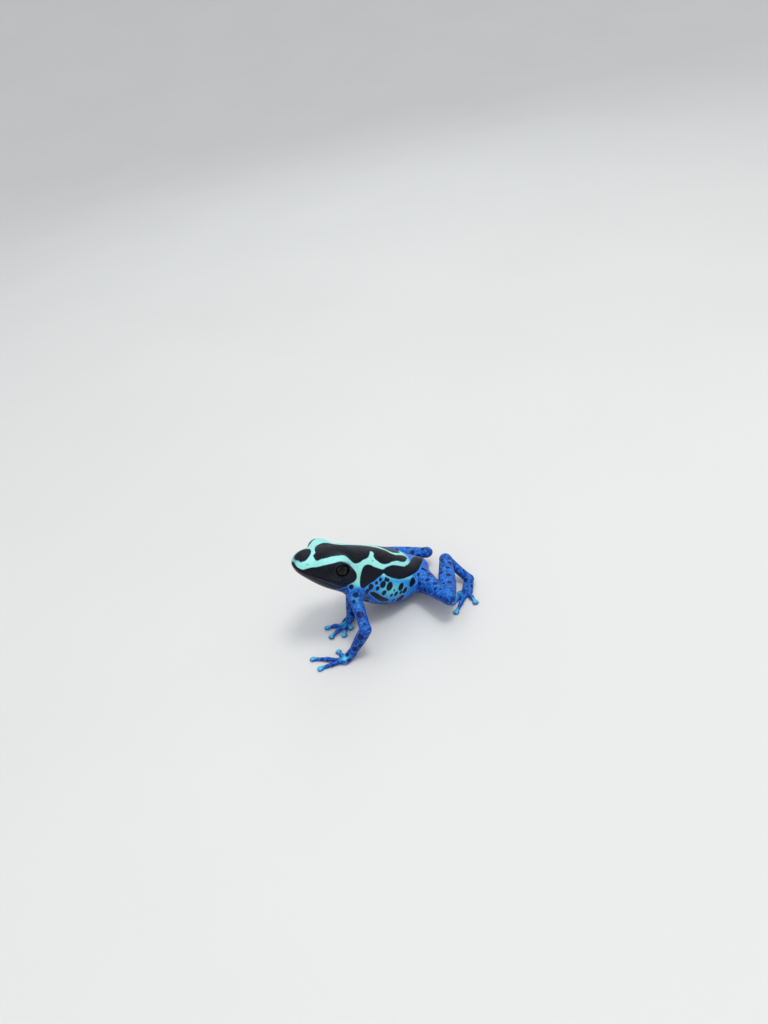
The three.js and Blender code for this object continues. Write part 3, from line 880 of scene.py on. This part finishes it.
def tip_share(points):
    """1 on the pads of the fingers and toes."""
    share = np.zeros(len(points))
    for palm, tip in digits(*SIGNS):
        pad = digit_places(palm, tip)[2]
        share = np.maximum(share, 1 - smoothstep(distances(points, pad), 0.3, 2.7))
    return share


def body_ground(along, side, up):
    """How pale the blue is between the dark markings of the trunk and head, 0 to 1."""
    degrees = np.abs(around(along, side, up))
    drop = 55 * smoothstep(along, 34, 39)
    stripe = (1 - smoothstep(degrees, 58 + drop, 76 + drop)) * smoothstep(along, 4.2, 7.4)
    branch = (1 - smoothstep(np.abs(along - 24.8), 1.3, 2.6)) * (1 - smoothstep(degrees, 90, 122))
    flank = 0.52 * hump(along, 12.5, 7.5) * hump(degrees, 92, 27)
    below = 0.2 * smoothstep(degrees, 110, 138)
    chest = 0.24 * hump(along, 21, 3.2) * hump(degrees, 122, 16)
    jaw = 0.22 * smoothstep(along, 25, 28) * smoothstep(degrees, 100, 112)
    blue = 0.24 + 0.76 * np.maximum(stripe, branch) + flank
    return np.clip(blue - below - chest - jaw, 0, 1)


HEEL_OF_HAND = np.array([0.7, -0.2, 0.8])  # from the middle of the palm


def limb_ground_and_top_highlight(points, normals):
    """How pale the blue is on the limbs: palest at the shoulder, the pads and the heel of the hand, and
    paler on their tops as a painted highlight.
    """
    ground_and_top_highlight = np.full(len(points), 0.13)
    for side in SIGNS:
        heel = joint(side, "palm") + HEEL_OF_HAND * [SIGNS[side], 1, 1]
        near_shoulder = hump(distances(points, joint(side, "shoulder")), 0, 4.4)
        near_elbow = hump(distances(points, joint(side, "elbow")), 0, 1.9)
        ground_and_top_highlight += 0.42 * near_shoulder + 0.1 * near_elbow + 0.4 * hump(distances(points, heel), 0, 1.5)
    # Painted highlight: the blue is paler where the limbs face up.
    ground_and_top_highlight += 0.26 * smoothstep(normals[:, 2], 0.4, 0.98)
    return np.clip(ground_and_top_highlight + 0.34 * tip_share(points), 0, 1)


def keep_markings(mesh):
    """Stores the colours of the skin on its points, with a painted highlight on the tops of the limbs in
    their blue.
    """
    points, normals = mesh_points(mesh), mesh_vectors(mesh, "normal")
    along, side, up = body_coordinates(points)
    share = limb_share(points)
    on_body = body_markings(along, side, up) - ENDED * smoothstep(share, 0.5, 0.85)
    on_limbs = limb_markings(points) - ENDED * (1 - smoothstep(share, 0.15, 0.5))
    ground_and_top_highlight = body_ground(along, side, up) * (1 - share) + limb_ground_and_top_highlight(points, normals) * share
    keep_values(mesh, "dark", np.maximum(np.maximum(on_body, on_limbs), FAR_OUTSIDE))
    keep_values(mesh, "ground_and_top_highlight", ground_and_top_highlight)
    keep_values(mesh, "limb", share)


def make_skin():
    points, faces = surface_net(grid_values())
    skin = add_mesh("skin", settle(points, 2), faces)
    mesh = subdivided(skin)
    set_mesh_points(mesh, settle(mesh_points(mesh), 1))
    keep_markings(mesh)
    add_relief(mesh)
    mesh.shade_smooth()
    return skin


# The cornea's low bulge and the groove round it, as angles from the back of the eyeball.
CORNEA = {"from": np.pi * 0.68, "to": np.pi * 0.86, "height": 0.1}
LIMBUS = {"at": np.pi * 0.7, "width": 0.12, "depth": 0.04}
EYE_STEPS, EYE_TURNS = 30, 64
PUPIL = {"long": 0.98, "tall": 0.72}
IRIS_RADIUS = 1.9
BEHIND_PUPIL, BEHIND_IRIS = 3, 2  # what the back of the eyeball reads


def turned_mesh(radii, heights, axes, turns):
    """Points and faces of a shape turned about the last of three axes."""
    first, second, last = axes
    angles = np.arange(turns) * 2 * np.pi / turns
    ring = np.cos(angles)[:, None] * first + np.sin(angles)[:, None] * second
    points = np.concatenate([r * ring + h * last for r, h in zip(radii, heights)])
    rows, columns = np.meshgrid(np.arange(len(radii) - 1), np.arange(turns), indexing="ij")
    beside = (columns + 1) % turns
    faces = np.stack([rows * turns + columns, rows * turns + beside,
                      (rows + 1) * turns + beside, (rows + 1) * turns + columns], axis=-1)
    return points, faces.reshape(-1, 4)


def eye_profile():
    """Radius and height of the eyeball from back to front."""
    angles = np.linspace(0, np.pi, EYE_STEPS + 1)
    radius = EYE["radius"] + CORNEA["height"] * smoothstep(angles, CORNEA["from"], CORNEA["to"])
    radius -= LIMBUS["depth"] * hump(angles, LIMBUS["at"], LIMBUS["width"])
    return radius * np.sin(angles), -radius * np.cos(angles)


def make_eye(side, sign):
    """An eyeball turned about the way the eye looks."""
    points, faces = turned_mesh(*eye_profile(), eye_axes(sign), EYE_TURNS)
    eye = add_mesh("eyeball_" + side, body_place(EYE, sign) + points, faces[:, ::sign])
    x, y, z = eye_coordinates(mesh_points(eye.data), sign)
    pupil = np.hypot(x / PUPIL["long"], y / PUPIL["tall"])
    keep_values(eye.data, "pupil", np.where(z > 0, pupil, BEHIND_PUPIL))
    keep_values(eye.data, "outer", np.where(z > 0, np.hypot(x, y) / IRIS_RADIUS, BEHIND_IRIS))
    return eye


class Nodes:
    """Short ways to build a material out of nodes."""

    def __init__(self, name):
        self.material = bpy.data.materials.new(name)
        self.material.use_nodes = True
        self.tree = self.material.node_tree

    def put(self, sockets, inputs):
        """Sets the sockets that get a number or colour and links the others."""
        for name, value in inputs.items():
            if isinstance(value, (int, float, tuple)):
                sockets[name].default_value = value
            else:
                self.tree.links.new(value, sockets[name])

    def node(self, kind, output, inputs, **settings):
        """One output of a new node."""
        node = self.tree.nodes.new(kind)
        for name, value in settings.items():
            setattr(node, name, value)
        self.put(node.inputs, inputs)
        return node.outputs[output]

    def surface(self, inputs):
        """The material, once its shader has its inputs."""
        self.put(self.tree.nodes["Principled BSDF"].inputs, inputs)
        return self.material

    def attribute(self, name):
        return self.node("ShaderNodeAttribute", "Fac", {}, attribute_name=name)

    def place(self):
        """The place on the object, in millimetres."""
        place = self.node("ShaderNodeTexCoord", "Object", {})
        return self.node("ShaderNodeVectorMath", 0, {0: place, "Scale": 1 / METRES}, operation="SCALE")

    def math(self, operation, a, b=0.0, c=0.0, clamp=False):
        return self.node("ShaderNodeMath", 0, {0: a, 1: b, 2: c}, operation=operation, use_clamp=clamp)

    def plus(self, a, b, clamp=False):
        return self.math("ADD", a, b, clamp=clamp)

    def times(self, *values):
        product = values[0]
        for value in values[1:]:
            product = self.math("MULTIPLY", product, value)
        return product

    def sway(self, noise, size):
        """The noise brought to swing about 0, by half of size either way."""
        return self.math("MULTIPLY_ADD", noise, size, -size / 2)

    def noise(self, place, scale, detail=3.0, rough=0.5):
        inputs = {"Vector": place, "Scale": scale, "Detail": detail, "Roughness": rough}
        return self.node("ShaderNodeTexNoise", 0, inputs)

    def cells(self, place, scale):
        inputs = {"Vector": place, "Scale": scale}
        return self.node("ShaderNodeTexVoronoi", "Distance", inputs, feature="SMOOTH_F1")

    def ease(self, value, low, high, start=0.0, end=1.0):
        inputs = {"Value": value, "From Min": low, "From Max": high, "To Min": start, "To Max": end}
        return self.node("ShaderNodeMapRange", 0, inputs, interpolation_type="SMOOTHSTEP")

    def mix(self, share, a, b):
        return self.node("ShaderNodeMix", 2, {"Factor": share, 6: a, 7: b}, data_type="RGBA")

    def ramp(self, value, stops):
        output = self.node("ShaderNodeValToRGB", "Color", {0: value})
        elements = output.node.color_ramp.elements
        while len(elements) < len(stops):
            elements.new(0.5)
        for element, (position, colour) in zip(elements, stops):
            element.position = position
            element.color = (*colour, 1)
        return output

    def bump(self, height, distance, **under):
        inputs = {"Height": height, "Distance": distance * METRES, "Strength": 1.0, **under}
        return self.node("ShaderNodeBump", "Normal", inputs)


# From the deepest blue of the limbs to the pale stripes.
BLUES = [
    (0.0, (0.004, 0.018, 0.20)), (0.22, (0.010, 0.095, 0.56)), (0.42, (0.022, 0.20, 0.74)),
    (0.62, (0.06, 0.44, 0.76)), (0.82, (0.18, 0.68, 0.71)), (1.0, (0.33, 0.78, 0.72)),
]
BLACK = (0.0035, 0.0045, 0.008, 1)
BLACK_SHEEN = (0.008, 0.009, 0.020, 1)
FRINGE = (0.006, 0.10, 0.30, 1)
DEEP_BLUE = (0.004, 0.018, 0.16, 1)
LIGHT_NET = (0.06, 0.34, 0.86, 1)
STRIPE_SHADE = (0.10, 0.58, 0.60, 1)
PUPIL_BLACK = (0.0015, 0.0015, 0.002, 1)
IRIS_BLACK, IRIS_BROWN = (0.0015, 0.0015, 0.0015, 1), (0.005, 0.004, 0.003, 1)
IRIS_RIM, EYE_EDGE = (0.016, 0.011, 0.006, 1), (0.004, 0.004, 0.006, 1)
FLOOR_DARKER, FLOOR_LIGHTER = (0.66, 0.66, 0.65, 1), (0.70, 0.70, 0.69, 1)
SKIN_GLOSS = {
    "IOR": 1.3, "Specular IOR Level": 0.24, "Coat Weight": 0.1, "Coat Roughness": 0.12, "Coat IOR": 1.33,
}
EYE_GLOSS = {"IOR": 1.25, "Coat Weight": 0.15, "Coat Roughness": 0.02, "Coat IOR": 1.34}


def skin_edge(n, place):
    """How far inside the dark markings, with edges that wander and are toothed, most on the limbs."""
    slow, fine = n.sway(n.noise(place, 0.9, 2.0), 0.24), n.sway(n.noise(place, 5.0, 2.0), 0.12)
    wander = n.times(n.plus(slow, fine), n.plus(n.attribute("limb"), 1.0))
    return n.plus(n.attribute("dark"), wander)


def skin_blue(n, place, edge):
    """The blue between the dark markings, paler on the tops of the limbs as a painted highlight."""
    ground_and_top_highlight, limb = n.attribute("ground_and_top_highlight"), n.attribute("limb")
    blue = n.ramp(n.plus(ground_and_top_highlight, n.sway(n.noise(place, 0.7, 4.0, 0.6), 0.2), clamp=True), BLUES)
    # Dark clouds and a winding dark net on the limbs, and pale flecks away from the stripes.
    off_stripes = n.ease(ground_and_top_highlight, 0.75, 0.5)
    clouds = n.ease(n.noise(place, 0.85, 4.0, 0.65), 0.46, 0.6)
    blue = n.mix(n.times(clouds, limb, off_stripes, 0.75), blue, DEEP_BLUE)
    flecks = n.ease(n.noise(place, 1.6, 3.0, 0.6), 0.54, 0.64)
    blue = n.mix(n.times(flecks, off_stripes, 0.65), blue, LIGHT_NET)
    off_line = n.math("ABSOLUTE", n.math("SUBTRACT", n.noise(place, 1.4, 2.0), 0.5))
    blue = n.mix(n.times(n.ease(off_line, 0.055, 0.015), limb, off_stripes, 0.7), blue, DEEP_BLUE)
    # Paler rims round the spots, fainter on the limbs.
    rim = n.times(n.ease(edge, -0.5, -0.26), n.ease(edge, -0.06, -0.2))
    blue = n.mix(n.times(rim, off_stripes, n.ease(limb, 0.0, 1.0, 0.5, 0.15)), blue, LIGHT_NET)
    shade = n.ease(n.noise(place, 1.3, 3.0), 0.5, 0.68)
    blue = n.mix(n.times(shade, n.ease(ground_and_top_highlight, 0.6, 0.85, 0.0, 0.3)), blue, STRIPE_SHADE)
    return n.mix(n.times(n.ease(edge, -0.18, 0.0), 0.65), blue, FRINGE)


def skin_material():
    n = Nodes("moist_skin")
    place, limb = n.place(), n.attribute("limb")
    edge = skin_edge(n, place)
    black = n.mix(n.noise(place, 1.3, 4.0), BLACK, BLACK_SHEEN)
    # The spots of the limbs are navy and soft, those of the body black and sharp.
    dark = n.mix(n.times(limb, 0.72), black, DEEP_BLUE)
    sharp, soft = n.ease(edge, -0.05, 0.05), n.ease(edge, -0.34, 0.2)
    inside = n.plus(sharp, n.times(limb, n.math("SUBTRACT", soft, sharp)))
    colour = n.mix(inside, skin_blue(n, place, edge), dark)
    # Painted shade darkens the creases towards black.
    colour = n.mix(n.times(n.attribute("crease_shade"), 0.65), colour, BLACK)
    granules = n.bump(n.ease(n.cells(place, 3.4), 0.1, 0.6, 1.0, 0.0), 0.05)
    pores = n.bump(n.noise(place, 14.0, 2.0), 0.008, Normal=granules)
    roughness = n.ease(n.noise(place, 1.8, 3.0), 0.3, 0.7, 0.28, 0.46)
    return n.surface({"Base Color": colour, "Normal": pores, "Roughness": roughness, **SKIN_GLOSS})


def eye_material():
    n = Nodes("wet_eye")
    place, pupil = n.place(), n.attribute("pupil")
    iris = n.mix(n.noise(place, 6.0, 4.0, 0.7), IRIS_BLACK, IRIS_BROWN)
    rim = n.times(n.ease(pupil, 0.98, 1.08), n.ease(pupil, 1.28, 1.1), 0.5)
    iris = n.mix(rim, iris, IRIS_RIM)
    colour = n.mix(n.ease(pupil, 1.05, 0.97), iris, PUPIL_BLACK)
    colour = n.mix(n.ease(n.attribute("outer"), 0.8, 1.05), colour, EYE_EDGE)
    roughness = n.ease(n.noise(place, 3.0), 0.3, 0.7, 0.04, 0.08)
    return n.surface({"Base Color": colour, "Roughness": roughness, **EYE_GLOSS})


def floor_material():
    n = Nodes("pale_floor")
    tint = n.mix(n.noise(n.place(), 0.01, 2.0), FLOOR_DARKER, FLOOR_LIGHTER)
    return n.surface({"Base Color": tint, "Roughness": 0.85})


# The floor, in metres: a flat disc and a round rise about it, drawn in so many steps and turns.
FLOOR = {"flat": 0.8, "rise": 1.4, "steps": 16, "turns": 96, "inner": [0.0, 0.1, 0.3]}


def make_floor():
    """A pale floor that curves up all round."""
    bend = np.linspace(0, np.pi / 2, FLOOR["steps"] + 1)
    radii = np.concatenate([FLOOR["inner"], FLOOR["flat"] + FLOOR["rise"] * np.sin(bend)])
    heights = np.concatenate([[0.0] * len(FLOOR["inner"]), FLOOR["rise"] * (1 - np.cos(bend))])
    points, faces = turned_mesh(radii, heights, np.eye(3), FLOOR["turns"])
    floor = add_mesh("floor", points / METRES, faces[:, ::-1])
    floor.data.materials.append(floor_material())


# The camera of the photograph, in millimetres and degrees.
AZIMUTH, ELEVATION, ROLL = 63.58, 34.51, -11.98
CAMERA_PLACE = (151.926, -68.019, 146.1)
FOCAL_PIXELS, LONG_SIDE_PIXELS, SENSOR = 770, 1024, 36
NEAREST, FARTHEST = 0.01, 10  # what the camera sees, in metres


def rotation(degrees, axis):
    return Matrix.Rotation(math.radians(degrees), 4, axis)


def make_camera():
    camera = add_object("camera", bpy.data.cameras.new("camera"))
    camera.data.sensor_width = SENSOR
    camera.data.lens = FOCAL_PIXELS * SENSOR / LONG_SIDE_PIXELS
    camera.data.clip_start, camera.data.clip_end = NEAREST, FARTHEST
    facing = rotation(AZIMUTH, "Z") @ rotation(90 - ELEVATION, "X") @ rotation(ROLL, "Z")
    camera.matrix_world = Matrix.Translation(Vector(CAMERA_PLACE) * METRES) @ facing
    bpy.context.scene.camera = camera


# Square soft lights: place and size in metres, watts and colour.
LIGHTS = {
    "key": ((0.16, 0.10, 0.62), 0.16, 1.4, (1.0, 0.99, 0.97)),
    "front": ((0.40, -0.40, 0.42), 0.34, 0.45, (0.97, 0.99, 1.0)),
    "back": ((-0.44, 0.30, 0.44), 0.34, 0.4, (0.95, 0.98, 1.0)),
    "sky": ((0.0, 0.0, 1.7), 2.4, 13.0, (0.98, 0.99, 1.0)),
}
LIT_PLACE = Vector((0, 0, 0.01))
WORLD_COLOUR, WORLD_STRENGTH = (0.93, 0.96, 1.0, 1), 0.6


def make_lights():
    for name, (place, size, watts, colour) in LIGHTS.items():
        light = bpy.data.lights.new(name, "AREA")
        light.shape, light.size, light.energy, light.color = "SQUARE", size, watts, colour
        lamp = add_object(name, light)
        lamp.location = place
        lamp.rotation_euler = (LIT_PLACE - Vector(place)).to_track_quat("-Z", "Y").to_euler()
    world = bpy.data.worlds.new("studio")
    world.use_nodes = True
    world.node_tree.nodes["Background"].inputs["Color"].default_value = WORLD_COLOUR
    world.node_tree.nodes["Background"].inputs["Strength"].default_value = WORLD_STRENGTH
    bpy.context.scene.world = world
    bpy.context.scene.view_settings.view_transform = "Standard"


def dress(piece, material, slot, *nodes):
    """Gives a piece its material and puts it in the place of the CAD nodes."""
    piece.data.materials.append(material)
    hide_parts(*nodes)
    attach(piece, "root")


make_camera()
limb_nodes = [part + "_" + side for side in SIGNS
              for part in ("upper_arm", "forearm", "hand", "thigh", "shank", "tarsus", "foot")]
dress(make_skin(), skin_material(), "skin", "head", "trunk", *limb_nodes)
wet_eye = eye_material()
for eye_side, eye_sign in SIGNS.items():
    dress(make_eye(eye_side, eye_sign), wet_eye, "eye", "eye_" + eye_side)
make_floor()
make_lights()

bpy.context.view_layer.update()
